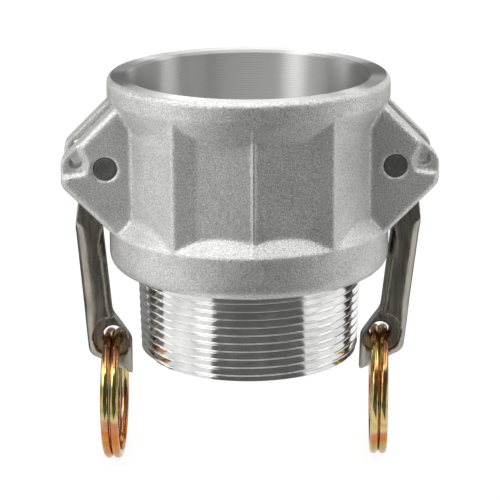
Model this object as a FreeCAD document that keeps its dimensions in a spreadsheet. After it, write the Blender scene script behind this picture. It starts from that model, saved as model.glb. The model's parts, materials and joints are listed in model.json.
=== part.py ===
import FreeCAD, Part
import math
import os
import re

import Sketcher
from FreeCAD import Placement, Rotation, Vector

# Two inch female cam and groove coupler with a male tapered pipe thread.
# The origin is the centre of the thread's end face, +Z runs up to the socket mouth,
# and the ears that carry the cam arms stand on the X axis. All sizes are in millimetres.

doc = FreeCAD.newDocument("CamGrooveCoupler")
sheet = doc.addObject("Spreadsheet::Sheet", "Sizes")

DRIVING_SIZES = {
    # how far a cut or a pad runs past the face that it meets
    "lap": 1.0,
    "slot_lap": 0.1,
    # the casting, turned outline
    "overall_height": 76.1,
    "collar_diameter": 75.2,
    "collar_depth": 5.6,
    "rim_round": 1.5,
    "shoulder_drop": 4.9,
    "band_top": 35.8,
    "ledge_rise": 3.2,
    "hub_face": 24.2,
    "hub_round": 4.0,
    "core_wall": 1.15,
    # the tapered pipe thread, as level grooves
    "thread_diameter": 60.33,
    "thread_taper": 16.0,
    "thread_chamfer": 1.2,
    "thread_pitch": 2.209,
    "thread_depth": 1.4,
    "thread_crest": 0.25,
    # the casting, faceted waist with its four upright ribs
    "waist_depth": 2.66,
    "facet_half_width": 14.4,
    "facet_fall": 3.14,
    "rib_angle": 33.3,
    "rib_set_in": 0.09,
    "rib_round": 1.2,
    "panel_set_in": 0.75,
    # the casting, inside
    "socket_wall": 5.75,
    "mouth_chamfer": 0.7,
    "seat_level": 29.5,
    "seat_height": 6.9,
    "seat_undercut": 1.6,
    "seat_clearance": 0.15,
    "thread_wall": 5.165,
    # the ears
    "ear_span": 28.4,
    "ear_level": 52.3,
    "ear_reach": 49.6,
    "ear_nose": 3.4,
    "ear_top_inset": 1.8,
    "ear_foot_rise": 6.1,
    "ear_run_in": 0.85,
    "ear_round": 2.0,
    "ear_corner": 3.2,
    "slot_width": 12.4,
    "window_below_pin": 10.2,
    "window_above_pin": 6.8,
    "clip_hole_diameter": 3.2,
    "clip_hole_place": 0.66,
    "clip_hole_rise": 3.1,
    "recess_depth": 1.1,
    "recess_draft": 35.0,
    "recess_top": 8.6,
    "recess_in_top": 5.0,
    "recess_in": 7.5,
    "recess_rise": 3.2,
    "recess_in_low": 6.5,
    "recess_foot_rise": -0.2,
    "recess_foot_drop": 1.5,
    # the pivot pins
    "pin_diameter": 6.0,
    "pin_past_collar": 0.35,
    "pin_rise": 1.5,
    "pin_sink": 0.3,
    "pin_chamfer": 0.3,
    "pin_hole_chamfer": 0.45,
    "pin_running_clearance": 0.08,
    # the seal
    "seal_flow_margin": 0.4,
    "seal_thickness": 6.35,
    "seal_round": 0.5,
    # the cam arms: places are out from the pin and down from it
    "arm_side_clearance": 0.3,
    "hub_radius": 5.4,
    "cam_radius": 7.0,
    "cam_offset": 2.6,
    "cam_angle": 20.0,
    "neck_out": 5.0,
    "neck_rise": 1.8,
    "neck_in": 2.0,
    "tab_top_out": 7.9,
    "tab_top_drop": 12.4,
    "tab_out": 8.65,
    "tab_drop": 18.6,
    "taper_drop": 13.6,
    "handle_in_top": 1.45,
    "handle_in_low": -0.75,
    "handle_top": 19.5,
    "knee_drop": 43.4,
    "crown_round": 2.4,
    "paddle_out": 5.85,
    "paddle_in": 5.9,
    "paddle_top_drop": 51.0,
    "paddle_out_drop": 54.9,
    "paddle_drop": 61.0,
    "paddle_round": 3.4,
    "paddle_thickness": 6.4,
    "eye_thickness": 5.0,
    "eye_radius": 5.6,
    "ring_hole_diameter": 5.6,
    "ring_hole_in": 0.85,
    "ring_hole_drop": 49.65,
    "ring_hole_chamfer": 0.4,
    "arm_lean": 1.7,
    # the finger rings
    "ring_wire": 2.35,
    "ring_outer_diameter": 35.9,
    "ring_turn_gap": 0.05,
    "ring_hole_clearance": 0.3,
    "left_ring_twist": 4.0,
    "right_ring_twist": 4.5,
    "ring_jog_angle": 30.0,
    "ring_jog_place": 125.0,
}

for row, (alias, value) in enumerate(DRIVING_SIZES.items(), start=1):
    sheet.set("A%d" % row, alias)
    sheet.set("B%d" % row, str(value))
    sheet.setAlias("B%d" % row, alias)
doc.recompute()


def size(alias):
    """Return one driving dimension from the sheet as a plain number."""
    return float(sheet.get(alias))


def bind(expression):
    """Name the sheet in front of every alias of an expression."""
    return re.sub(r"\b([a-z][a-z_]+)\b(?!\()", r"Sizes.\1", expression)


# the levels and radii that several pieces share
COLLAR = "collar_diameter / 2"
COLLAR_LOW = "(overall_height - collar_depth)"
BORE = "(collar_diameter / 2 - socket_wall)"
SEAT = "(collar_diameter / 2 - socket_wall + seat_undercut)"
FLOW = "(thread_diameter / 2 - thread_wall)"
WAIST = "(collar_diameter / 2 - waist_depth)"
PANEL = "(collar_diameter / 2 - socket_wall - panel_set_in)"
PIN_OUT = "(collar_diameter / 2 + pin_past_collar)"
PIN_LEVEL = "(ear_level + pin_rise)"


def collar_radius():
    return size("collar_diameter") / 2


def pin_place(side):
    """The middle of one pivot pin."""
    out = collar_radius() + size("pin_past_collar")
    return Vector(side * out, 0, size("ear_level") + size("pin_rise"))


def origin_plane(body, role):
    """Return one of the body's own origin planes."""
    return next(f for f in body.Origin.OriginFeatures if f.Role == role)


def outline_sketch(body, name, role, loops, circles=(), offset=None):
    """Draw closed outlines of straight lines, and circles, all placed by the sheet.

    A loop is a list of (across, up) expressions, and a circle is (across, up, radius).
    The lines start as a regular polygon and the constraints then bring them home.
    """
    sketch = body.newObject("Sketcher::SketchObject", name)
    sketch.AttachmentSupport = [(origin_plane(body, role), "")]
    sketch.MapMode = "FlatFace"
    if offset is not None:
        sketch.setExpression(".AttachmentOffset.Base.z", bind(offset))
    spread = collar_radius()
    for corners in loops:
        first = sketch.GeometryCount
        count = len(corners)
        turns = [2 * math.pi * i / count for i in range(count)]
        start = [Vector(spread * math.cos(a), spread * math.sin(a), 0) for a in turns]
        for i in range(count):
            sketch.addGeometry(Part.LineSegment(start[i], start[(i + 1) % count]))
        for i in range(count):
            joined = Sketcher.Constraint("Coincident", first + i, 2, first + (i + 1) % count, 1)
            sketch.addConstraint(joined)
        for i, (across, up) in enumerate(corners):
            place_point(sketch, first + i, 1, start[i], across, up)
    for across, up, radius in circles:
        middle = Vector(spread, spread, 0)
        geo = sketch.addGeometry(Part.Circle(middle, Vector(0, 0, 1), spread))
        place_point(sketch, geo, 3, middle, across, up)
        index = sketch.addConstraint(Sketcher.Constraint("Radius", geo, spread))
        sketch.setExpression("Constraints[%d]" % index, bind(radius))
    return sketch


def place_point(sketch, geo, end, start, across, up):
    """Tie a sketch point to the sketch origin by two distances from the sheet."""
    for kind, value, expression in (("DistanceX", start.x, across), ("DistanceY", start.y, up)):
        index = sketch.addConstraint(Sketcher.Constraint(kind, -1, 1, geo, end, value))
        sketch.setExpression("Constraints[%d]" % index, bind(expression))


def pad(body, name, sketch, length, symmetric=True):
    """Pad a sketch by a length from the sheet."""
    feature = body.newObject("PartDesign::Pad", name)
    feature.Profile = sketch
    feature.SideType = "Symmetric" if symmetric else "One side"
    feature.setExpression("Length", bind(length))
    doc.recompute()
    return feature


def pocket(body, name, sketch, length, symmetric=True, reverse=False, draft=None):
    """Cut a sketch out of the body and make sure that something went."""
    before = body.Shape.Volume
    feature = body.newObject("PartDesign::Pocket", name)
    feature.Profile = sketch
    feature.SideType = "Symmetric" if symmetric else "One side"
    feature.Reversed = reverse
    feature.setExpression("Length", bind(length))
    if draft is not None:
        feature.setExpression("TaperAngle", bind(draft))
    doc.recompute()
    if body.Shape.Volume > before - 0.1:
        raise RuntimeError(name + " cuts nothing")
    return feature


def turn(body, name, kind, sketch):
    """Revolve or groove a sketch all the way round the upright axis."""
    feature = body.newObject(kind, name)
    feature.Profile = sketch
    feature.ReferenceAxis = (sketch, ["V_Axis"])
    feature.Angle = 360
    doc.recompute()
    return feature


def dress(body, name, kind, value, wanted):
    """Fillet or chamfer the edges of the body's tip that pass the test wanted(edge)."""
    base = body.Tip
    names = ["Edge%d" % (i + 1) for i, edge in enumerate(base.Shape.Edges) if wanted(edge)]
    if not names:
        raise RuntimeError(name + " finds no edge")
    feature = body.newObject(kind, name)
    feature.Base = (base, names)
    feature.setExpression("Radius" if kind.endswith("Fillet") else "Size", bind(value))
    doc.recompute()
    return feature


def fillet(body, name, value, wanted):
    return dress(body, name, "PartDesign::Fillet", value, wanted)


def chamfer(body, name, value, wanted):
    return dress(body, name, "PartDesign::Chamfer", value, wanted)


def circle_at(edge, radius, level, slack=0.02):
    """True for a level circle of that radius about the upright axis."""
    curve = edge.Curve
    if not isinstance(curve, Part.Circle) or abs(curve.Axis.z) < 0.99:
        return False
    return abs(curve.Radius - radius) < slack and abs(curve.Center.z - level) < slack


def four_corners(quarter):
    """Mirror a quarter outline in both axes into one closed loop."""
    front_right = quarter
    back_right = [(across, negative(up)) for across, up in reversed(quarter)]
    back_left = [(negative(across), negative(up)) for across, up in quarter]
    front_left = [(negative(across), up) for across, up in reversed(quarter)]
    loop = front_right + back_right + back_left + front_left
    return [point for i, point in enumerate(loop) if point != loop[i - 1]]


def negative(expression):
    return "0" if expression == "0" else "-(" + expression + ")"


def both_sides(corners):
    """The same outline on the right and, mirrored, on the left."""
    return [corners, [(negative(across), up) for across, up in reversed(corners)]]


def make_coupler_body():
    """The casting: threaded hub, band, faceted waist, collar, ears and the socket inside."""
    body = doc.addObject("PartDesign::Body", "coupler_body")

    ear_in = BORE + " - ear_run_in"
    right_half = [
        (ear_in, "hub_face + ear_foot_rise"),
        ("ear_reach", "ear_level - ear_nose"),
        ("ear_reach", "ear_level + ear_nose"),
        (ear_in, "overall_height - ear_top_inset"),
    ]
    left_half = [(negative(across), up) for across, up in reversed(right_half)]
    ears = outline_sketch(body, "EarOutline", "XZ_Plane", [right_half + left_half])
    pad(body, "EarBlock", ears, "ear_span")

    def is_ear_corner(edge):
        low, high = edge.Vertexes[0].Point, edge.Vertexes[-1].Point
        return abs(abs(low.x) - size("ear_reach")) < 0.01 and abs(low.y - high.y) > size("slot_width")

    def is_ear_rim(edge):
        ends = [vertex.Point for vertex in edge.Vertexes]
        flat = all(abs(abs(p.y) - size("ear_span") / 2) < 0.01 for p in ends)
        return flat and any(abs(p.x) > collar_radius() for p in ends)

    fillet(body, "EarCornerRound", "ear_corner", is_ear_corner)
    fillet(body, "EarRimRound", "ear_round", is_ear_rim)

    core = "(" + BORE + " + core_wall)"
    core_run = "(" + COLLAR + " - " + core + ") / waist_depth"
    thread_big = "thread_diameter / 2"
    thread_small = "thread_diameter / 2 - hub_face / thread_taper / 2"
    outline = outline_sketch(body, "TurnedOutline", "XZ_Plane", [[
        ("0", "0"),
        (thread_small + " - thread_chamfer", "0"),
        (thread_small + " + thread_chamfer / thread_taper / 2", "thread_chamfer"),
        (thread_big, "hub_face"),
        (COLLAR, "hub_face"),
        (COLLAR, "band_top"),
        (core, "band_top + ledge_rise * " + core_run),
        (core, COLLAR_LOW + " - shoulder_drop * " + core_run),
        (COLLAR, COLLAR_LOW),
        (COLLAR, "overall_height"),
        ("0", "overall_height"),
    ]])
    turn(body, "TurnedBlank", "PartDesign::Revolution", outline)

    collar_r = collar_radius()
    hub_limit = "min(hub_round; (collar_diameter - thread_diameter) / 2 - lap)"
    fillet(body, "HubRound", hub_limit, lambda e: circle_at(e, collar_r, size("hub_face")))
    fillet(body, "RimRound", "rim_round", lambda e: circle_at(e, collar_r, size("overall_height")))

    rib_out = "(collar_diameter / 2 - rib_set_in)"
    waist = outline_sketch(body, "WaistOutline", "XY_Plane", [four_corners([
        ("0", "-" + WAIST),
        ("facet_half_width", "-(" + WAIST + " - facet_fall)"),
        (rib_out + " * sin(rib_angle)", "-(" + rib_out + " * cos(rib_angle))"),
        (PANEL, "-ear_span / 2"),
    ])], offset="band_top - lap")
    pad(body, "Waist", waist, COLLAR_LOW + " - band_top + 2 * lap", symmetric=False)

    def is_rib_edge(edge):
        low, high = edge.Vertexes[0].Point, edge.Vertexes[-1].Point
        upright = abs(low.x - high.x) < 0.01 and abs(low.y - high.y) < 0.01
        return upright and abs(math.hypot(low.x, low.y) - collar_r + size("rib_set_in")) < 0.05

    fillet(body, "RibRound", "rib_round", is_rib_edge)

    slot_in = WAIST + " + slot_lap"
    slot_out = COLLAR + " + slot_lap"
    slot = outline_sketch(body, "ArmSlotOutline", "XZ_Plane", both_sides([
        (slot_in, "band_top + ledge_rise"),
        (slot_out, "band_top"),
        ("ear_reach + lap", "band_top"),
        ("ear_reach + lap", COLLAR_LOW),
        (slot_out, COLLAR_LOW),
        (slot_in, COLLAR_LOW + " - shoulder_drop"),
    ]))
    pocket(body, "ArmSlots", slot, "slot_width")

    grooves = []
    count = int((size("hub_face") - size("thread_chamfer")) / size("thread_pitch"))
    half = "(thread_pitch / 2 - thread_crest)"
    for i in range(count):
        middle = "(thread_chamfer + thread_pitch * (%d + 0.5))" % i
        crest = "(" + thread_big + " - (hub_face - " + middle + ") / thread_taper / 2)"
        grooves.append([
            (crest + " + " + half + " / thread_taper / 2", middle + " + " + half),
            (crest + " - thread_depth", middle),
            (crest + " - " + half + " / thread_taper / 2", middle + " - " + half),
            (crest + " + thread_crest", middle),
        ])
    rings = outline_sketch(body, "ThreadOutline", "XZ_Plane", grooves)
    turn(body, "ThreadGrooves", "PartDesign::Groove", rings)

    inside = outline_sketch(body, "SocketOutline", "XZ_Plane", [[
        ("0", "-lap"),
        (FLOW, "-lap"),
        (FLOW, "seat_level"),
        (SEAT, "seat_level"),
        (SEAT, "seat_level + seat_height"),
        (BORE, "seat_level + seat_height"),
        (BORE, "overall_height - mouth_chamfer"),
        (BORE + " + mouth_chamfer", "overall_height"),
        (BORE + " + mouth_chamfer", "overall_height + lap"),
        ("0", "overall_height + lap"),
    ]])
    turn(body, "SocketBore", "PartDesign::Groove", inside)

    window = outline_sketch(body, "WindowOutline", "XZ_Plane", both_sides([
        (FLOW, PIN_LEVEL + " - window_below_pin"),
        (PIN_OUT, PIN_LEVEL + " - window_below_pin"),
        (PIN_OUT, PIN_LEVEL + " + window_above_pin"),
        (FLOW, PIN_LEVEL + " + window_above_pin"),
    ]))
    pocket(body, "CamWindows", window, "slot_width")

    clip_out = "(" + PIN_OUT + " + clip_hole_place * (ear_reach - " + PIN_OUT + "))"
    clip_level = "ear_level + clip_hole_rise"
    holes = outline_sketch(body, "PinHoleOutline", "XZ_Plane", [], [
        (PIN_OUT, PIN_LEVEL, "pin_diameter / 2"),
        (negative(PIN_OUT), PIN_LEVEL, "pin_diameter / 2"),
        (clip_out, clip_level, "clip_hole_diameter / 2"),
        (negative(clip_out), clip_level, "clip_hole_diameter / 2"),
    ])
    pocket(body, "EarHoles", holes, "ear_span + 2 * lap")

    recess = [
        ("ear_reach - recess_in_top", "ear_level + recess_top"),
        ("ear_reach + 2 * lap", "ear_level + recess_top"),
        ("ear_reach + 2 * lap", "ear_level - recess_foot_drop"),
        ("ear_reach - recess_in_low", "ear_level + recess_foot_rise"),
        ("ear_reach - recess_in", "ear_level + recess_rise"),
    ]
    sides = (("FrontRecess", "ear_span / 2", False), ("BackRecess", "-ear_span / 2", True))
    for name, face, reverse in sides:
        drawn = outline_sketch(body, name + "Outline", "XZ_Plane", both_sides(recess), offset=face)
        pocket(body, name, drawn, "recess_depth", symmetric=False, reverse=reverse, draft="-recess_draft")

    def is_pin_hole_rim(edge):
        curve = edge.Curve
        if not isinstance(curve, Part.Circle) or abs(curve.Axis.y) < 0.99:
            return False
        same = abs(curve.Radius - size("pin_diameter") / 2) < 0.01
        return same and abs(abs(curve.Center.y) - size("ear_span") / 2) < 0.01

    chamfer(body, "PinHoleChamfer", "pin_hole_chamfer", is_pin_hole_rim)
    return body


def make_pivot_pin(label, side):
    """One steel pin, pressed through both plates of an ear."""
    body = doc.addObject("PartDesign::Body", label)
    drawn = outline_sketch(body, label + "_outline", "XZ_Plane", [], [("0", "0", "pin_diameter / 2")])
    pad(body, label + "_shank", drawn, "ear_span - 2 * pin_sink")
    chamfer(body, label + "_ends", "pin_chamfer", lambda e: isinstance(e.Curve, Part.Circle))
    body.setExpression("Placement.Base.x", bind(PIN_OUT + " * %d" % side))
    body.setExpression("Placement.Base.z", bind(PIN_LEVEL))
    return body


def make_seal():
    """The flat rubber ring that lies in the undercut seat at the bottom of the socket."""
    body = doc.addObject("PartDesign::Body", "socket_seal")
    outer = SEAT + " - seat_clearance"
    inner = FLOW + " + seal_flow_margin"
    section = outline_sketch(body, "SealSection", "XZ_Plane", [[
        (inner, "seat_level"),
        (outer, "seat_level"),
        (outer, "seat_level + seal_thickness"),
        (inner, "seat_level + seal_thickness"),
    ]])
    turn(body, "SealRing", "PartDesign::Revolution", section)
    top = size("seat_level") + size("seal_thickness")

    def is_top_edge(edge):
        curve = edge.Curve
        return isinstance(curve, Part.Circle) and abs(curve.Center.z - top) < 0.01

    fillet(body, "SealEdges", "seal_round", is_top_edge)
    return body


def make_cam_arm(label, side):
    """One cam arm about its pin: eccentric cam, crowned handle and the paddle with the ring's hole.

    It is drawn with the pin at the origin, the handle hanging down and its outer edge on +X.
    """
    body = doc.addObject("PartDesign::Body", label)
    thick = "(slot_width - 2 * arm_side_clearance)"

    lever = outline_sketch(body, label + "_lever_outline", "XZ_Plane", [[
        ("neck_out", "neck_rise"),
        ("tab_top_out", "-tab_top_drop"),
        ("tab_out", "-tab_drop"),
        ("paddle_out", "-paddle_out_drop"),
        ("-paddle_in", "-paddle_drop"),
        ("-paddle_in", "-paddle_top_drop"),
        ("handle_in_low", "-knee_drop"),
        ("handle_in_top", "-handle_top"),
        ("-neck_in", "-hub_radius"),
        ("-neck_in", "neck_rise"),
    ]])
    pad(body, label + "_lever", lever, thick)

    face = [
        (thick + " / 2", "-taper_drop"),
        ("paddle_thickness / 2", "-(paddle_drop + lap)"),
        (thick + " / 2 + lap", "-(paddle_drop + lap)"),
        (thick + " / 2 + lap", "-taper_drop"),
    ]
    sides = outline_sketch(body, label + "_taper_outline", "YZ_Plane", both_sides(face))
    pocket(body, label + "_taper", sides, "4 * paddle_drop")

    rounded = [
        (size("paddle_out"), size("paddle_out_drop")),
        (-size("paddle_in"), size("paddle_top_drop")),
        (size("handle_in_low"), size("knee_drop")),
    ]

    def is_paddle_corner(edge):
        ends = [vertex.Point for vertex in edge.Vertexes]
        across = abs(ends[0].y - ends[-1].y) > size("eye_thickness") / 2
        near = [math.hypot(ends[0].x - out, ends[0].z + drop) < 0.05 for out, drop in rounded]
        return across and any(near)

    fillet(body, label + "_paddle_round", "paddle_round", is_paddle_corner)

    def is_crown_edge(edge):
        ends = [vertex.Point for vertex in edge.Vertexes]
        one_face = ends[0].y * ends[-1].y > 0 and abs(ends[0].y) > size("eye_thickness") / 2
        same_corner = math.hypot(ends[0].x - ends[-1].x, ends[0].z - ends[-1].z) < 0.05
        level = abs(ends[0].z - ends[-1].z) < 0.01
        return one_face and not same_corner and not level and all(p.z < 0.1 - size("tab_drop") for p in ends)

    fillet(body, label + "_crown_round", "crown_round", is_crown_edge)

    hole = ("-ring_hole_in", "-ring_hole_drop")
    for name, front, reverse in (("front", thick + " / 2", False), ("back", "-" + thick + " / 2", True)):
        title = label + "_" + name + "_eye"
        eye = [hole + ("eye_radius",)]
        drawn = outline_sketch(body, title + "_outline", "XZ_Plane", [], eye, offset=front)
        depth = "(" + thick + " - eye_thickness) / 2"
        pocket(body, title, drawn, depth, symmetric=False, reverse=reverse)

    head = outline_sketch(body, label + "_head_outline", "XZ_Plane", [], [("0", "0", "hub_radius")])
    pad(body, label + "_hub", head, thick)
    cam_centre = ("-cam_offset * cos(cam_angle)", "-cam_offset * sin(cam_angle)")
    cam = outline_sketch(body, label + "_cam_outline", "XZ_Plane", [], [cam_centre + ("cam_radius",)])
    pad(body, label + "_cam", cam, thick)

    bores = outline_sketch(body, label + "_bore_outline", "XZ_Plane", [], [
        ("0", "0", "pin_diameter / 2 + pin_running_clearance"),
        hole + ("ring_hole_diameter / 2",),
    ])
    pocket(body, label + "_bores", bores, "slot_width + 2 * lap")

    def is_ring_hole_rim(edge):
        same = isinstance(edge.Curve, Part.Circle) and abs(edge.Curve.Axis.y) > 0.99
        return same and abs(edge.Curve.Radius - size("ring_hole_diameter") / 2) < 0.01

    chamfer(body, label + "_ring_hole_chamfer", "ring_hole_chamfer", is_ring_hole_rim)
    body.Placement = arm_placement(side)
    return body


def arm_placement(side):
    """The right arm leans in by a little more than the left one."""
    if side > 0:
        return Placement(pin_place(side), Rotation(Vector(0, 1, 0), size("arm_lean")))
    return Placement(pin_place(side), Rotation(Vector(0, 0, 1), 180))


def make_finger_ring(label, side):
    """A split ring of two flat turns side by side, joined by a short jog."""
    wire_r = size("ring_wire") / 2
    mean = size("ring_outer_diameter") / 2 - wire_r
    pitch = size("ring_wire") + size("ring_turn_gap")
    jog = size("ring_jog_angle")

    def stand_up(turned):
        """Turn a piece drawn about Z to its place about the ring's level axis."""
        turned.rotate(Vector(0, 0, 0), Vector(0, 0, 1), size("ring_jog_place"))
        turned.rotate(Vector(0, 0, 0), Vector(0, 1, 0), 90)
        return turned

    def flat_turn(level):
        turned = Part.makeTorus(mean, wire_r, Vector(0, 0, level), Vector(0, 0, 1), -180, 180, 360 - jog)
        turned.rotate(Vector(0, 0, 0), Vector(0, 0, 1), jog)
        return stand_up(turned)

    rise = pitch * 360 / jog
    section = Part.Wire(Part.makeCircle(wire_r, Vector(mean, 0, 0), Vector(0, 1, 0)))
    section.rotate(Vector(mean, 0, 0), Vector(1, 0, 0), math.degrees(math.atan2(rise, 2 * math.pi * mean)))
    step = Part.Wire(Part.makeHelix(rise, pitch, mean).Edges).makePipeShell([section], True, True)
    step.translate(Vector(0, 0, -pitch / 2))
    solid = flat_turn(-pitch / 2).fuse([flat_turn(pitch / 2), stand_up(step)])

    ring = doc.addObject("Part::Feature", label)
    ring.Shape = solid
    ring.Placement = ring_placement(side, mean, wire_r, pitch)
    return ring


def ring_placement(side, mean, wire_r, pitch):
    """Hang the ring's two turns on the lower edge of the paddle's hole."""
    hole = Vector(-size("ring_hole_in"), 0, -size("ring_hole_drop"))
    centre = arm_placement(side).multVec(hole)
    reach = size("ring_hole_diameter") / 2 - wire_r - size("ring_hole_clearance")
    seat = math.sqrt(reach ** 2 - (pitch / 2) ** 2)
    middle = centre - Vector(0, 0, seat + mean)
    twist = size("right_ring_twist" if side > 0 else "left_ring_twist")
    return Placement(middle, Rotation(Vector(0, 0, 1), -twist))


SIDES = (("left", -1), ("right", 1))
pieces = [make_coupler_body(), make_seal()]
for word, side in SIDES:
    pieces.append(make_pivot_pin(word + "_pivot_pin", side))
    pieces.append(make_cam_arm(word + "_cam_arm", side))
    pieces.append(make_finger_ring(word + "_finger_ring", side))

doc.recompute()
for made in doc.Objects:
    if "Invalid" in made.State or "Error" in made.State:
        raise RuntimeError(made.Name + " failed")
for piece in pieces:
    if piece.Shape.isNull() or not piece.Shape.isValid():
        raise RuntimeError(piece.Label + " has no valid shape")

os.makedirs("parts", exist_ok=True)
for piece in pieces:
    piece.Shape.exportStep(os.path.join("parts", piece.Label + ".step"))
    print(piece.Label, round(piece.Shape.Volume, 1), piece.Shape.BoundBox)
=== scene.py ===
import json
import math

import bpy
from mathutils import Matrix, Quaternion, Vector

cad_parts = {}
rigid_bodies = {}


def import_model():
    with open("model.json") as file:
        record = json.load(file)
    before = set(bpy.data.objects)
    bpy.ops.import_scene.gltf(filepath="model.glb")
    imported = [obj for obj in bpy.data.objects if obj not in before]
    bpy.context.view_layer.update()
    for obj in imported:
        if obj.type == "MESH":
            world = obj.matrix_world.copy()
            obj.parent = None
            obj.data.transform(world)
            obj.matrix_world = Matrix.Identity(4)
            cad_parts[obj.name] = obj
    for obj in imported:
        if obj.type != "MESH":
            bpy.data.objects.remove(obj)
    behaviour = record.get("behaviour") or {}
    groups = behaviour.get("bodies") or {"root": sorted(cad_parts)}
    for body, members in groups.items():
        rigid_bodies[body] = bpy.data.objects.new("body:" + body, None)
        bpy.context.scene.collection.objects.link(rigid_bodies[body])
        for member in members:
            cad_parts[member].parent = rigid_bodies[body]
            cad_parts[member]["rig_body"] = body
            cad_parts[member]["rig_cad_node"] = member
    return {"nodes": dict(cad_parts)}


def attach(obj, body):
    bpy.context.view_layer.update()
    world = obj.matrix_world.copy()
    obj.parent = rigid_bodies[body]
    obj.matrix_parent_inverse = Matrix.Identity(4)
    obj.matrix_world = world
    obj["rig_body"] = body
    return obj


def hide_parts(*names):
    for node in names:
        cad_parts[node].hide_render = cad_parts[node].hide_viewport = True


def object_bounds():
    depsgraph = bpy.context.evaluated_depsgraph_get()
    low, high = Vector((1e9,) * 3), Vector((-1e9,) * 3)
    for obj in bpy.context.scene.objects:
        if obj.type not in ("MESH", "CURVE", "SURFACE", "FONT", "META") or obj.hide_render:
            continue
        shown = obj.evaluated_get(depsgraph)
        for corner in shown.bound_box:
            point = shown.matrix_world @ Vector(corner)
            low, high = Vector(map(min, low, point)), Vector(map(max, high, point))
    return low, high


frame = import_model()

cad_low, cad_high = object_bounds()

# ---------------------------------------------------------------------------
# The casting: the coupler's body, gravity cast in aluminium and shot blasted, so that its skin
# is an even matt grey and every edge is soft. The socket, the holes and the rim are turned and
# drilled afterwards, and those faces are bright and sharp. All sizes are in mm.
# ---------------------------------------------------------------------------
MM = 0.001
LEVEL_TOP = 76.1
HUB_FACE = 24.2
SOCKET_R = 31.85
MOUTH_CHAMFER = 0.7
SEAT_R = 33.45
SEAT_LOW, SEAT_HIGH = 29.5, 36.4
FLOW_R = 25.0
EAR_HALF = 14.2
PIN_X, PIN_Z, PIN_R = 37.95, 53.8, 3.0
PIN_HOLE_CHAMFER = 0.45
CLIP_X, CLIP_Z, CLIP_R = 45.639, 55.4, 1.6
SLOT_HALF = 6.2
WINDOW_IN, WINDOW_OUT = 25.0, 38.0
WINDOW_LOW, WINDOW_HIGH = 43.6, 60.6
CAST_VOXEL = 0.5
# The mould's parting ridge: half its width, its height, and the depths from the axis between
# which the front and back skins lie. It fades out over the last mm.
PARTING_HALF, PARTING_RISE = 0.75, 0.32
PARTING_FROM, PARTING_TO = 28.0, 37.2
# The inside is filled, and the rim raised, before the edges are rounded, and both are cut sharp
# afterwards. The cutters reach well past the casting.
FILL_R, FILL_LOW, FILL_HIGH = 33.6, HUB_FACE + 0.5, 75.0
RAISED_R, RAISED_TOP = 36.1, 77.4
STUB_HALF, STUB_LOW = 45.0, -2.0
DRILL_END, DRILL_FLARE = 20.0, 9.0
BAR_LOW, BAR_HIGH, BAR_R = 20.0, 80.0, 50.0


def linear(colour):
    """An sRGB hex colour as linear red, green, blue and alpha."""
    parts = [int(colour[i:i + 2], 16) / 255 for i in (1, 3, 5)]
    return tuple(p / 12.92 if p <= 0.04045 else ((p + 0.055) / 1.055) ** 2.4 for p in parts) + (1.0,)


def finish_called(name):
    """A new material with only a Principled shader and its output."""
    material = bpy.data.materials.new(name)
    material.use_nodes = True
    return material


def add_node(owner, kind, settings=None, links=None, stops=None):
    """Add a node to a material or a world, or take up its Principled shader.

    The settings are inputs or properties, the links go from its inputs to other nodes' outputs,
    and the stops of a colour ramp are pairs of a place and a hex colour.
    """
    tree = owner.node_tree
    node = tree.nodes["Principled BSDF"] if kind == "Principled" else tree.nodes.new(kind)
    for key, value in (settings or {}).items():
        if isinstance(key, int) or key in node.inputs:
            node.inputs[key].default_value = value
        else:
            setattr(node, key, value)
    for key, source in (links or {}).items():
        tree.links.new(source, node.inputs[key])
    if stops:
        first, *between, last = stops
        elements = node.color_ramp.elements
        elements[0].position, elements[0].color = first[0], linear(first[1])
        elements[1].position, elements[1].color = last[0], linear(last[1])
        for place, colour in between:
            elements.new(place).color = linear(colour)
    return node


def select(piece):
    """Make a piece the only one selected, and the active one."""
    bpy.ops.object.select_all(action="DESELECT")
    piece.select_set(True)
    bpy.context.view_layer.objects.active = piece


def smooth(piece, degrees):
    """Shade a piece smooth, except over the edges that turn by more than this angle."""
    select(piece)
    bpy.ops.object.shade_smooth_by_angle(angle=math.radians(degrees))


def apply_modifier(piece, kind, **settings):
    """Give a piece one modifier and apply it at once."""
    modifier = piece.modifiers.new(kind.title(), kind)
    for key, value in settings.items():
        setattr(modifier, key, value)
    select(piece)
    bpy.ops.object.modifier_apply(modifier=modifier.name)


def join_with(piece, tool, operation):
    """Add a solid to a piece or cut it away, with the tool's own finish on the new faces."""
    apply_modifier(piece, "BOOLEAN", operation=operation, object=tool, solver="EXACT",
                   material_mode="TRANSFER")
    bpy.data.objects.remove(tool)


def merged_copy(node, name):
    """A copy of a CAD node with its loose triangles joined."""
    piece = frame["nodes"][node].copy()
    piece.data = piece.data.copy()
    piece.name = name
    bpy.context.scene.collection.objects.link(piece)
    piece.parent = None
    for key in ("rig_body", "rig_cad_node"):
        del piece[key]
    select(piece)
    bpy.ops.object.mode_set(mode="EDIT")
    bpy.ops.mesh.select_all(action="SELECT")
    bpy.ops.mesh.remove_doubles(threshold=0.002 * MM)
    bpy.ops.object.mode_set(mode="OBJECT")
    return piece


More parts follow.
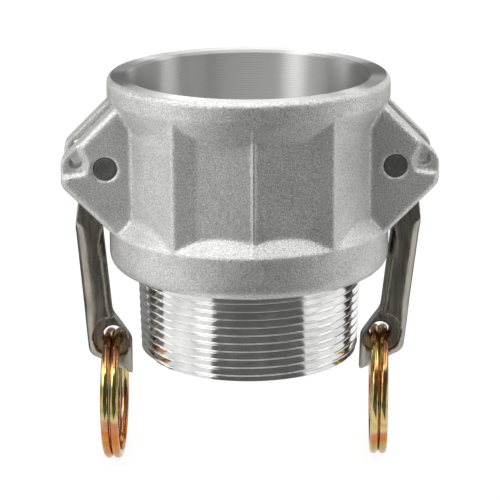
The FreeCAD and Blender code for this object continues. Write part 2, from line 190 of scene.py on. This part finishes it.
def turned(name, outline, finish, steps=160):
    """A solid turned about the upright axis from an outline of (radius, level) in mm."""
    mesh = bpy.data.meshes.new(name)
    points = [(r * MM, 0, z * MM) for r, z in outline]
    mesh.from_pydata(points, [(i, i + 1) for i in range(len(points) - 1)], [])
    piece = bpy.data.objects.new(name, mesh)
    bpy.context.scene.collection.objects.link(piece)
    apply_modifier(piece, "SCREW", angle=math.tau, steps=steps, render_steps=steps,
                   use_merge_vertices=True, merge_threshold=0.001 * MM, use_normal_calculate=True)
    select(piece)
    bpy.ops.object.mode_set(mode="EDIT")
    bpy.ops.mesh.select_all(action="SELECT")
    bpy.ops.mesh.remove_doubles(threshold=0.001 * MM)
    bpy.ops.mesh.normals_make_consistent(inside=False)
    bpy.ops.object.mode_set(mode="OBJECT")
    piece.data.materials.append(finish)
    return piece


def lay_level(piece, x, z):
    """Lay a turned piece down with its axis along Y, through x and z in mm."""
    down = Matrix.Rotation(math.pi / 2, 4, "X")
    piece.data.transform(Matrix.Translation((x * MM, 0, z * MM)) @ down)


def block(name, low, high, finish):
    """A plain block between two corners in mm."""
    centre = [(a + b) / 2 * MM for a, b in zip(low, high)]
    sides = [(b - a) * MM for a, b in zip(low, high)]
    bpy.ops.object.select_all(action="DESELECT")
    bpy.ops.mesh.primitive_cube_add(size=1, location=centre, scale=sides)
    piece = bpy.context.object
    piece.name = name
    piece.data.materials.append(finish)
    return piece


def blasted_aluminium():
    """Cast aluminium alloy, shot blasted: light neutral grey with a fine even grit."""
    made = finish_called("blasted_cast_aluminium")
    place = add_node(made, "ShaderNodeTexCoord").outputs["Object"]
    # The grit is about 0.15 mm on the real skin, and is drawn at 0.4 mm so that it shows: 2.6
    # grains to the mm. The cloud under it is 9 mm wide.
    grit = add_node(made, "ShaderNodeTexNoise", {"Scale": 2.6 / MM, "Detail": 2.0, "Roughness": 0.6},
                    {"Vector": place})
    cloud = add_node(made, "ShaderNodeTexNoise", {"Scale": 0.11 / MM, "Detail": 4.0, "Roughness": 0.55},
                     {"Vector": place})
    both = add_node(made, "ShaderNodeMix", {"data_type": "FLOAT", "Factor": 0.2},
                    {2: grit.outputs["Fac"], 3: cloud.outputs["Fac"]})
    shade = add_node(made, "ShaderNodeValToRGB", {}, {"Fac": both.outputs[0]},
                     [(0.3, "#A2A2A0"), (0.5, "#D2D2D0"), (0.7, "#F6F6F4")])
    bump = add_node(made, "ShaderNodeBump", {"Strength": 0.9, "Distance": 0.2 * MM},
                    {"Height": grit.outputs["Fac"]})
    add_node(made, "Principled", {"Metallic": 0.75, "Roughness": 0.45},
             {"Base Color": shade.outputs["Color"], "Normal": bump.outputs["Normal"]})
    return made


def turned_aluminium():
    """The same alloy cut on the lathe: bright, with fine level rings from the tool."""
    made = finish_called("turned_aluminium")
    place = add_node(made, "ShaderNodeTexCoord").outputs["Object"]
    # The tool advances about 0.2 mm a turn, drawn at 0.5 mm so that it shows.
    rings = add_node(made, "ShaderNodeTexWave",
                     {"bands_direction": "Z", "Scale": 0.62 / MM, "Distortion": 1.5, "Detail": 2.0,
                      "Detail Scale": 3.0}, {"Vector": place})
    bump = add_node(made, "ShaderNodeBump", {"Strength": 0.12, "Distance": 0.04 * MM},
                    {"Height": rings.outputs["Fac"]})
    shade = add_node(made, "ShaderNodeValToRGB", {}, {"Fac": rings.outputs["Fac"]},
                     [(0.0, "#D6D6D5"), (1.0, "#E4E4E3")])
    round_about = add_node(made, "ShaderNodeTangent", {"direction_type": "RADIAL", "axis": "Z"})
    add_node(made, "Principled",
             {"Metallic": 1.0, "Roughness": 0.5, "Anisotropic": 1.0, "Anisotropic Rotation": 0.25},
             {"Base Color": shade.outputs["Color"], "Normal": bump.outputs["Normal"],
              "Tangent": round_about.outputs["Tangent"]})
    return made


def drilled_aluminium():
    """The same alloy in the drilled pin holes: smooth, and bright on the countersink."""
    made = finish_called("drilled_aluminium")
    add_node(made, "Principled", {"Base Color": linear("#D8D8D6"), "Metallic": 1.0, "Roughness": 0.3})
    return made


cast_skin = blasted_aluminium()
bright_cut = turned_aluminium()
drilled = drilled_aluminium()

casting = merged_copy("coupler_body", "casting")
casting.data.materials.clear()
casting.data.materials.append(cast_skin)
fill = turned("fill", [(0, FILL_LOW), (FILL_R, FILL_LOW), (FILL_R, FILL_HIGH), (RAISED_R, FILL_HIGH),
                       (RAISED_R, RAISED_TOP), (0, RAISED_TOP)], cast_skin)
join_with(casting, fill, "UNION")
stub = block("stub", (-STUB_HALF, -STUB_HALF, STUB_LOW), (STUB_HALF, STUB_HALF, HUB_FACE), cast_skin)
join_with(casting, stub, "DIFFERENCE")
apply_modifier(casting, "REMESH", mode="VOXEL", voxel_size=CAST_VOXEL * MM, use_smooth_shade=True)
apply_modifier(casting, "SMOOTH", factor=0.5, iterations=4)
casting.data.materials.clear()
casting.data.materials.append(cast_skin)
for vertex in casting.data.vertices:
    off_line, depth = abs(vertex.co.x) / MM / PARTING_HALF, abs(vertex.co.y) / MM
    if off_line < 1 and depth > PARTING_FROM:
        rise = PARTING_RISE * (1 - off_line * off_line) * min(max(PARTING_TO - depth, 0), 1)
        vertex.co.y += math.copysign(rise * MM, vertex.co.y)

pin_drill = [(0, -DRILL_END), (DRILL_FLARE, -DRILL_END), (PIN_R + PIN_HOLE_CHAMFER, -EAR_HALF),
             (PIN_R, PIN_HOLE_CHAMFER - EAR_HALF), (PIN_R, EAR_HALF - PIN_HOLE_CHAMFER),
             (PIN_R + PIN_HOLE_CHAMFER, EAR_HALF), (DRILL_FLARE, DRILL_END), (0, DRILL_END)]
clip_drill = [(0, -DRILL_END), (CLIP_R, -DRILL_END), (CLIP_R, DRILL_END), (0, DRILL_END)]
for side in (-1, 1):
    near, far = sorted((side * WINDOW_IN, side * WINDOW_OUT))
    window = block("window", (near, -SLOT_HALF, WINDOW_LOW), (far, SLOT_HALF, WINDOW_HIGH), cast_skin)
    join_with(casting, window, "DIFFERENCE")
    for outline, x, z, wall in ((pin_drill, PIN_X, PIN_Z, drilled), (clip_drill, CLIP_X, CLIP_Z, cast_skin)):
        drill = turned("drill", outline, wall, steps=48)
        lay_level(drill, side * x, z)
        join_with(casting, drill, "DIFFERENCE")
boring_bar = turned("boring_bar", [
    (0, BAR_LOW), (FLOW_R, BAR_LOW), (FLOW_R, SEAT_LOW), (SEAT_R, SEAT_LOW), (SEAT_R, SEAT_HIGH),
    (SOCKET_R, SEAT_HIGH), (SOCKET_R, LEVEL_TOP - MOUTH_CHAMFER), (SOCKET_R + MOUTH_CHAMFER, LEVEL_TOP),
    (BAR_R, LEVEL_TOP), (BAR_R, BAR_HIGH), (0, BAR_HIGH)], bright_cut, steps=192)
join_with(casting, boring_bar, "DIFFERENCE")
smooth(casting, 32)
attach(casting, "coupler")
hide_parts("coupler_body")

# ---------------------------------------------------------------------------
# The pipe thread: a two inch taper thread, 11.5 to the inch and right handed, cut on the lathe
# below the hub. The tool leaves polished flanks, which mirror the lamps in narrow bright bands.
# ---------------------------------------------------------------------------
THREAD_R = 30.165
THREAD_PITCH = 25.4 / 11.5
THREAD_DEPTH = 1.55
THREAD_TAPER = 1 / 32
CREST, ROOT = 0.22, 0.18
# A narrow face beside each crest and root keeps the shading of the flanks flat.
EDGE = 0.1
THREAD_STEPS = 160
HUB_OVERLAP = 0.3
# The cutters: the passage, and the cone that chamfers the end, as points of (radius, level).
CUT_LOW, CUT_HIGH = -2.0, 30.0
CONE_FOOT, CONE_HEAD = (28.0, -0.6), (34.0, 5.4)


def thread_cut_aluminium():
    """Thread flanks burnished by the tool: close to a mirror, in patches a little duller."""
    made = finish_called("thread_cut_aluminium")
    place = add_node(made, "ShaderNodeTexCoord").outputs["Object"]
    marks = add_node(made, "ShaderNodeTexNoise", {"Scale": 0.16 / MM, "Detail": 5.0}, {"Vector": place})
    rough = add_node(made, "ShaderNodeMapRange",
                     {"From Min": 0.3, "From Max": 0.7, "To Min": 0.06, "To Max": 0.14},
                     {"Value": marks.outputs["Fac"]})
    shade = add_node(made, "ShaderNodeValToRGB", {}, {"Fac": marks.outputs["Fac"]},
                     [(0.3, "#E2E2E1"), (0.7, "#F4F4F3")])
    add_node(made, "Principled", {"Metallic": 1.0},
             {"Base Color": shade.outputs["Color"], "Roughness": rough.outputs["Result"]})
    return made


pipe_thread = bpy.data.objects.new("pipe_thread", bpy.data.meshes.new("pipe_thread"))
bpy.context.scene.collection.objects.link(pipe_thread)
flank = (THREAD_PITCH - CREST - ROOT) / 2
root_r, edge_z = THREAD_R - THREAD_DEPTH, EDGE * flank / THREAD_DEPTH
tooth = [(THREAD_R, 0), (THREAD_R, CREST), (THREAD_R - EDGE, CREST + edge_z),
         (root_r + EDGE, CREST + flank - edge_z), (root_r, CREST + flank), (root_r, CREST + flank + ROOT),
         (root_r + EDGE, CREST + flank + ROOT + edge_z), (THREAD_R - EDGE, THREAD_PITCH - edge_z),
         (THREAD_R, THREAD_PITCH)]
pipe_thread.data.from_pydata([(r * MM, 0, (z - THREAD_PITCH) * MM) for r, z in tooth],
                             [(i, i + 1) for i in range(len(tooth) - 1)], [])
# The helix is a turn too long at each end, and is cut level there.
turns = math.ceil(HUB_FACE / THREAD_PITCH) + 2
apply_modifier(pipe_thread, "SCREW", angle=math.tau, screw_offset=THREAD_PITCH * MM, iterations=turns,
               steps=THREAD_STEPS, render_steps=THREAD_STEPS, use_merge_vertices=False)
for vertex in pipe_thread.data.vertices:
    narrower = 1 - (HUB_FACE * MM - vertex.co.z) * THREAD_TAPER / (THREAD_R * MM)
    vertex.co.x *= narrower
    vertex.co.y *= narrower
select(pipe_thread)
bpy.ops.object.mode_set(mode="EDIT")
bpy.ops.mesh.select_all(action="SELECT")
bpy.ops.mesh.remove_doubles(threshold=0.01 * MM)
for level, normal in ((0.0, (0, 0, -1)), ((HUB_FACE + HUB_OVERLAP) * MM, (0, 0, 1))):
    bpy.ops.mesh.select_all(action="SELECT")
    bpy.ops.mesh.bisect(plane_co=(0, 0, level), plane_no=normal, use_fill=True, clear_outer=True)
bpy.ops.mesh.select_all(action="SELECT")
bpy.ops.mesh.normals_make_consistent(inside=False)
bpy.ops.object.mode_set(mode="OBJECT")
pipe_thread.data.materials.append(thread_cut_aluminium())
bore_outline = [(0, CUT_LOW), (FLOW_R, CUT_LOW), (FLOW_R, CUT_HIGH), (0, CUT_HIGH)]
join_with(pipe_thread, turned("pipe_bore", bore_outline, bright_cut), "DIFFERENCE")
cone_outline = [(CONE_FOOT[0], CUT_LOW), (CONE_HEAD[0], CUT_LOW), CONE_HEAD, CONE_FOOT]
join_with(pipe_thread, turned("end_chamfer", cone_outline, bright_cut), "DIFFERENCE")
smooth(pipe_thread, 68)
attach(pipe_thread, "coupler")
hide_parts("coupler_body")

# ---------------------------------------------------------------------------
# The seal: a flat ring of black nitrile rubber, moulded, pressed into the undercut seat at the
# bottom of the socket. Its corners are rounded, and two shallow grooves run round its top face.
# ---------------------------------------------------------------------------
SEAL_OUT, SEAL_IN, SEAL_THICK = 33.3, 25.4, 6.35
SEAL_CORNER = 0.5
GROOVE_STARTS = (30.6, 28.6)
GROOVE_WIDTH, GROOVE_SIDE, GROOVE_DEPTH = 0.8, 0.25, 0.22


def nitrile():
    """Moulded nitrile rubber: black, matt, a little dusty."""
    made = finish_called("moulded_nitrile_rubber")
    place = add_node(made, "ShaderNodeTexCoord").outputs["Object"]
    dust = add_node(made, "ShaderNodeTexNoise", {"Scale": 0.35 / MM, "Detail": 6.0}, {"Vector": place})
    shade = add_node(made, "ShaderNodeValToRGB", {}, {"Fac": dust.outputs["Fac"]},
                     [(0.35, "#1B1B1C"), (0.75, "#2E2E2F")])
    bump = add_node(made, "ShaderNodeBump", {"Strength": 0.2, "Distance": 0.05 * MM},
                    {"Height": dust.outputs["Fac"]})
    add_node(made, "Principled", {"Roughness": 0.62, "IOR": 1.52},
             {"Base Color": shade.outputs["Color"], "Normal": bump.outputs["Normal"]})
    return made


seal_top = SEAT_LOW + SEAL_THICK
bends = [math.radians(degrees) for degrees in (0, 30, 60, 90)]
corner = [(math.cos(bend) * SEAL_CORNER, math.sin(bend) * SEAL_CORNER) for bend in bends]
seal_outline = [(SEAL_OUT, SEAT_LOW), (SEAL_OUT, seal_top - SEAL_CORNER)]
seal_outline += [(SEAL_OUT - SEAL_CORNER + dx, seal_top - SEAL_CORNER + dz) for dx, dz in corner[1:]]
for start in GROOVE_STARTS:
    seal_outline += [(start, seal_top), (start - GROOVE_SIDE, seal_top - GROOVE_DEPTH),
                     (start - (GROOVE_WIDTH - GROOVE_SIDE), seal_top - GROOVE_DEPTH),
                     (start - GROOVE_WIDTH, seal_top)]
seal_outline += [(SEAL_IN + SEAL_CORNER - dx, seal_top - SEAL_CORNER + dz) for dx, dz in reversed(corner)]
seal_outline += [(SEAL_IN, SEAT_LOW), (SEAL_OUT, SEAT_LOW)]
rubber_seal = turned("rubber_seal", seal_outline, nitrile(), steps=128)
smooth(rubber_seal, 35)
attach(rubber_seal, "coupler")
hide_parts("socket_seal")

# ---------------------------------------------------------------------------
# The pivot pins: cut from steel bar and pressed through both plates of an ear, a little below
# their faces. The sawn ends are dark and dull, very slightly dished, with a rounded rim.
# ---------------------------------------------------------------------------
PIN_SINK = 0.3
# The end of a pin from its centre to its side, as points of (radius, depth below the end).
PIN_END = [(0, 0.12), (1.6, 0.1), (2.35, 0.03), (PIN_R - 0.45, 0), (PIN_R - 0.3, 0.04), (PIN_R - 0.03, 0.35)]


def cut_bar():
    """The sawn end of a steel bar: dark, dull, with fine cross scratches."""
    made = finish_called("sawn_steel_bar")
    place = add_node(made, "ShaderNodeTexCoord").outputs["Object"]
    stretched = add_node(made, "ShaderNodeMapping", {"Scale": (5.2 / MM, 0.3 / MM, 0.7 / MM)},
                         {"Vector": place})
    lines = add_node(made, "ShaderNodeTexNoise", {"Scale": 1.0, "Detail": 4.0},
                     {"Vector": stretched.outputs["Vector"]})
    shade = add_node(made, "ShaderNodeValToRGB", {}, {"Fac": lines.outputs["Fac"]},
                     [(0.3, "#6C6C6A"), (0.7, "#929290")])
    bump = add_node(made, "ShaderNodeBump", {"Strength": 0.25, "Distance": 0.03 * MM},
                    {"Height": lines.outputs["Fac"]})
    add_node(made, "Principled", {"Metallic": 0.9, "Roughness": 0.5},
             {"Base Color": shade.outputs["Color"], "Normal": bump.outputs["Normal"]})
    return made


sawn_steel = cut_bar()
pin_half = EAR_HALF - PIN_SINK
pin_outline = [(r, sunk - pin_half) for r, sunk in PIN_END]
pin_outline += [(r, pin_half - sunk) for r, sunk in reversed(PIN_END)]
for word, side in (("left", -1), ("right", 1)):
    pin = turned(word + "_pin", pin_outline, sawn_steel, steps=64)
    lay_level(pin, side * PIN_X, PIN_Z)
    smooth(pin, 30)
    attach(pin, "coupler")
    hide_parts(word + "_pivot_pin")

# ---------------------------------------------------------------------------
# The cam arms: investment cast stainless steel, tumbled to a satin with a brown cast. Each is one
# lever that thins towards its crowned paddle, with an eccentric cam round the pin and a flat round
# eye about the hole for the finger ring. The right one is the left one turned about, and leans.
# ---------------------------------------------------------------------------
ARM_VOXEL = 0.3
ARM_LEAN = 1.7
# The crown rounds the handle's outer face. It runs from TOP to FOOT below the pin and fades out
# at both ends, and its middle lies CENTRE outside the pin and comes in by SLOPE.
CROWN_TOP, CROWN_FOOT, CROWN_FADE = 16.0, 46.0, 5.0
CROWN_CENTRE, CROWN_SLOPE, CROWN_HALF = 5.3, 0.084, 3.7
CROWN_FALL = 0.9


def tumbled_stainless():
    """Cast stainless steel after tumbling: brownish grey satin with soft scratches."""
    made = finish_called("tumbled_stainless_steel")
    place = add_node(made, "ShaderNodeTexCoord").outputs["Object"]
    long_way = add_node(made, "ShaderNodeMapping", {"Scale": (0.9 / MM, 0.9 / MM, 0.12 / MM)},
                        {"Vector": place})
    wear = add_node(made, "ShaderNodeTexNoise", {"Scale": 1.0, "Detail": 5.0, "Roughness": 0.6},
                    {"Vector": long_way.outputs["Vector"]})
    shade = add_node(made, "ShaderNodeValToRGB", {}, {"Fac": wear.outputs["Fac"]},
                     [(0.3, "#8C867D"), (0.5, "#A09A90"), (0.7, "#B4AEA4")])
    rough = add_node(made, "ShaderNodeMapRange",
                     {"From Min": 0.3, "From Max": 0.7, "To Min": 0.22, "To Max": 0.36},
                     {"Value": wear.outputs["Fac"]})
    bump = add_node(made, "ShaderNodeBump", {"Strength": 0.12, "Distance": 0.06 * MM},
                    {"Height": wear.outputs["Fac"]})
    add_node(made, "Principled", {"Metallic": 1.0},
             {"Base Color": shade.outputs["Color"], "Roughness": rough.outputs["Result"],
              "Normal": bump.outputs["Normal"]})
    return made


left_arm = merged_copy("left_cam_arm", "left_arm_casting")
apply_modifier(left_arm, "REMESH", mode="VOXEL", voxel_size=ARM_VOXEL * MM, use_smooth_shade=True)
apply_modifier(left_arm, "SMOOTH", factor=0.5, iterations=3)
left_arm.data.materials.clear()
left_arm.data.materials.append(tumbled_stainless())
for vertex in left_arm.data.vertices:
    out, drop = -vertex.co.x / MM - PIN_X, PIN_Z - vertex.co.z / MM
    inside = min(drop - CROWN_TOP, CROWN_FOOT - drop) / CROWN_FADE
    offset = (out - CROWN_CENTRE + CROWN_SLOPE * (drop - CROWN_TOP)) / CROWN_HALF
    fall = CROWN_FALL * min(max(inside, 0), 1) * min(offset * offset, 1)
    vertex.co.y -= math.copysign(min(fall * MM, abs(vertex.co.y)), vertex.co.y)
right_arm = left_arm.copy()
right_arm.data = left_arm.data.copy()
right_arm.name = "right_arm_casting"
bpy.context.scene.collection.objects.link(right_arm)
from_pin = Matrix.Translation((PIN_X * MM, 0, PIN_Z * MM))
to_pin = Matrix.Translation((PIN_X * MM, 0, -PIN_Z * MM))
leaning = Matrix.Rotation(math.radians(ARM_LEAN), 4, "Y")
right_arm.data.transform(from_pin @ leaning @ Matrix.Rotation(math.pi, 4, "Z") @ to_pin)
for arm, body in ((left_arm, "left_arm"), (right_arm, "right_arm")):
    smooth(arm, 40)
    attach(arm, body)
    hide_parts(body.replace("_arm", "_cam_arm"))

# ---------------------------------------------------------------------------
# The finger rings: split rings of spring steel wire, two turns, zinc plated and yellow
# passivated, which gives gold with pink and green clouds.
# ---------------------------------------------------------------------------
RING_LOW, RING_HIGH = -31.0, 7.0


def yellow_zinc():
    """Yellow chromate on bright zinc: glossy gold that shifts to pink and green in patches."""
    made = finish_called("yellow_passivated_zinc")
    place = add_node(made, "ShaderNodeTexCoord").outputs["Object"]
    # The film's colour drifts from bottom to top, in 9 mm clouds, and is darker at the bottom as painted
    # shade.
    film = add_node(made, "ShaderNodeTexNoise", {"Scale": 0.11 / MM, "Detail": 2.0, "Distortion": 0.6},
                    {"Vector": place})
    upright = add_node(made, "ShaderNodeSeparateXYZ", {}, {"Vector": place})
    height = add_node(made, "ShaderNodeMapRange",
                      {"From Min": RING_LOW * MM, "From Max": RING_HIGH * MM, "To Min": -0.4, "To Max": 0.6},
                      {"Value": upright.outputs["Z"]})
    tint = add_node(made, "ShaderNodeMath", {"operation": "ADD"},
                    {0: height.outputs["Result"], 1: film.outputs["Fac"]})
    # The two lowest stops are darkened as painted shade on the lower part of the ring.
    shade = add_node(made, "ShaderNodeValToRGB", {}, {"Fac": tint.outputs[0]},
                     [(0.08, "#B39A50"), (0.25, "#C4742F"), (0.42, "#BC8562"), (0.55, "#D2BC84"),
                      (0.7, "#96995A"), (0.85, "#CFB070"), (1.0, "#A87450")])
    add_node(made, "Principled", {"Metallic": 1.0, "Roughness": 0.13}, {"Base Color": shade.outputs["Color"]})
    return made


gold_zinc = yellow_zinc()
for word in ("left", "right"):
    ring = merged_copy(word + "_finger_ring", word + "_split_ring")
    ring.data.materials.clear()
    ring.data.materials.append(gold_zinc)
    smooth(ring, 50)
    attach(ring, word + "_ring")
    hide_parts(word + "_finger_ring")

# ---------------------------------------------------------------------------
# The studio, in metres: a white floor that glows, three soft lamps above, soft boxes round the
# sides, and grey cloths in front and behind. The metal mirrors the cloths, and they keep the
# middle of the thread dark between the bright streaks of the boxes.
# ---------------------------------------------------------------------------
TARGET = Vector((0, 0, 0.040))
ROOM_GLOW, SEEN_GLOW = 0.24, 1.0
FLOOR_SIZE, FLOOR_GAP = 12.0, 0.0004
FLOOR_GLOW, GLOW_SHARE = 1.05, 0.88
BOX_RADIUS, BOX_SIZE = 1.1, (0.46, 0.5)
FRONT_DARK, BACK_DARK = (-39, 54), (119, 259)
CLOTH_GAP = 0.0002
CLOTH_NEAR, CLOTH_FAR, CLOTH_STEPS = 0.06, 0.9, 12
CURTAIN_RADIUS, CURTAIN_TOP = 1.0, 0.9

world = bpy.data.worlds.new("studio")
bpy.context.scene.world = world
world.use_nodes = True
world.node_tree.nodes.clear()
ray = add_node(world, "ShaderNodeLightPath")
room = add_node(world, "ShaderNodeBackground", {"Color": linear("#FFFFFF"), "Strength": ROOM_GLOW})
seen_room = add_node(world, "ShaderNodeBackground", {"Color": linear("#FFFFFF"), "Strength": SEEN_GLOW})
is_seen = add_node(world, "ShaderNodeMath", {"operation": "MAXIMUM"},
                   {0: ray.outputs["Is Camera Ray"], 1: ray.outputs["Is Transmission Ray"]})
blend = add_node(world, "ShaderNodeMixShader", {},
                 {0: is_seen.outputs[0], 1: room.outputs[0], 2: seen_room.outputs[0]})
add_node(world, "ShaderNodeOutputWorld", {}, {"Surface": blend.outputs[0]})

bpy.ops.object.select_all(action="DESELECT")
bpy.ops.mesh.primitive_plane_add(size=FLOOR_SIZE, location=(0, 0, cad_low.z - FLOOR_GAP))
floor = bpy.context.object
floor.name = "floor"
paper = finish_called("white_paper_sweep")
matt = add_node(paper, "Principled", {"Base Color": linear("#F4F4F3"), "Roughness": 0.9})
glow = add_node(paper, "ShaderNodeEmission", {"Color": linear("#FFFFFF"), "Strength": FLOOR_GLOW})
ray = add_node(paper, "ShaderNodeLightPath")
is_seen = add_node(paper, "ShaderNodeMath", {"operation": "MAXIMUM"},
                   {0: ray.outputs["Is Camera Ray"], 1: ray.outputs["Is Glossy Ray"]})
share = add_node(paper, "ShaderNodeMath", {"operation": "MULTIPLY", 1: GLOW_SHARE}, {0: is_seen.outputs[0]})
blend = add_node(paper, "ShaderNodeMixShader", {},
                 {0: share.outputs[0], 1: matt.outputs[0], 2: glow.outputs[0]})
paper.node_tree.links.new(blend.outputs[0], paper.node_tree.nodes["Material Output"].inputs["Surface"])
floor.data.materials.append(paper)


def about(azimuth, radius, level):
    """A point round the object, with its azimuth in degrees from the front towards the right."""
    return (math.sin(math.radians(azimuth)) * radius, -math.cos(math.radians(azimuth)) * radius, level)


def soft_lamp(name, place, size, power):
    """A rectangular soft box that points at the object."""
    lamp = bpy.data.lights.new(name, "AREA")
    lamp.shape = "RECTANGLE"
    lamp.size, lamp.size_y = size
    lamp.energy = power
    holder = bpy.data.objects.new(name, lamp)
    bpy.context.scene.collection.objects.link(holder)
    holder.location = place
    holder.rotation_mode = "QUATERNION"
    holder.rotation_quaternion = (TARGET - Vector(place)).to_track_quat("-Z", "Y")


# Each lamp's place, size and power in watts, and each box's azimuth, level and power.
soft_lamp("lamp_above", (0, 0, 1.2), (1.1, 1.1), 7.4)
soft_lamp("lamp_above_front", (0, -0.8, 1.15), (1.2, 0.4), 4.0)
soft_lamp("lamp_above_back", (0, 0.9, 1.0), (1.2, 0.4), 2.3)
for name, azimuth, level, power in (("left_front_high", -51, 0.75, 3.8), ("left_front_low", -51, 0.25, 0.6),
                                    ("left_high", -82, 0.75, 1.6), ("left_low", -82, 0.25, 0.2),
                                    ("left_back_low", -106, 0.25, 1.45), ("right_high", 92, 0.75, 3.1),
                                    ("left_streak", -65, 1.1, 2.2), ("right_streak", 60, 1.1, 1.8),
                                    ("right_back_low", 116, 0.25, 0.7), ("back_right_low", 150, 0.25, 0.6)):
    soft_lamp(name, about(azimuth, BOX_RADIUS, level), BOX_SIZE, power)

grey_cloth = finish_called("grey_studio_cloth")
add_node(grey_cloth, "Principled", {"Base Color": linear("#5A5A58"), "Roughness": 1.0})


def cloth(name, points):
    """A grey cloth for the metal to mirror, which the camera doesn't see and which casts no shadow."""
    mesh = bpy.data.meshes.new(name)
    mesh.from_pydata(points, [], [range(len(points))])
    mesh.materials.append(grey_cloth)
    sheet = bpy.data.objects.new(name, mesh)
    bpy.context.scene.collection.objects.link(sheet)
    sheet.visible_camera = False
    sheet.visible_shadow = False
    return sheet


on_floor = cad_low.z - CLOTH_GAP
for name, (first, last) in (("front_floor_cloth", FRONT_DARK), ("back_floor_cloth", BACK_DARK)):
    arc = [first + (last - first) * i / CLOTH_STEPS for i in range(CLOTH_STEPS + 1)]
    near_edge = [about(azimuth, CLOTH_NEAR, on_floor) for azimuth in arc]
    far_edge = [about(azimuth, CLOTH_FAR, on_floor) for azimuth in reversed(arc)]
    sheet = cloth(name, near_edge + far_edge)
    sheet.visible_diffuse = name.startswith("front")
first, last = FRONT_DARK
cloth("front_cloth", [about(first, CURTAIN_RADIUS, on_floor), about(last, CURTAIN_RADIUS, on_floor),
                      about(last, CURTAIN_RADIUS, CURTAIN_TOP), about(first, CURTAIN_RADIUS, CURTAIN_TOP)])

# ---------------------------------------------------------------------------
# The camera of the photograph: a long lens close to level, a little to the left of the front.
# ---------------------------------------------------------------------------
CAMERA_AZIMUTH, CAMERA_ELEVATION, CAMERA_ROLL = -2.04, 15.36, -0.18
CAMERA_DISTANCE = 0.5498
SENSOR_MM, LENS_MM = 36.0, 147.0
LENS_SHIFT = (0.0022, -0.0908)

azimuth, elevation = math.radians(CAMERA_AZIMUTH), math.radians(CAMERA_ELEVATION)
back = Vector((math.sin(azimuth) * math.cos(elevation), -math.cos(azimuth) * math.cos(elevation),
               math.sin(elevation)))
rolled = Quaternion((0, 0, 1), math.radians(CAMERA_ROLL))
lens = bpy.data.cameras.new("camera")
lens.sensor_width = SENSOR_MM
lens.lens = LENS_MM
lens.shift_x, lens.shift_y = LENS_SHIFT
camera = bpy.data.objects.new("camera", lens)
bpy.context.scene.collection.objects.link(camera)
camera.location = TARGET + back * CAMERA_DISTANCE
camera.rotation_mode = "QUATERNION"
camera.rotation_quaternion = (-back).to_track_quat("-Z", "Y") @ rolled
bpy.context.scene.camera = camera
bpy.context.scene.view_settings.view_transform = "Standard"
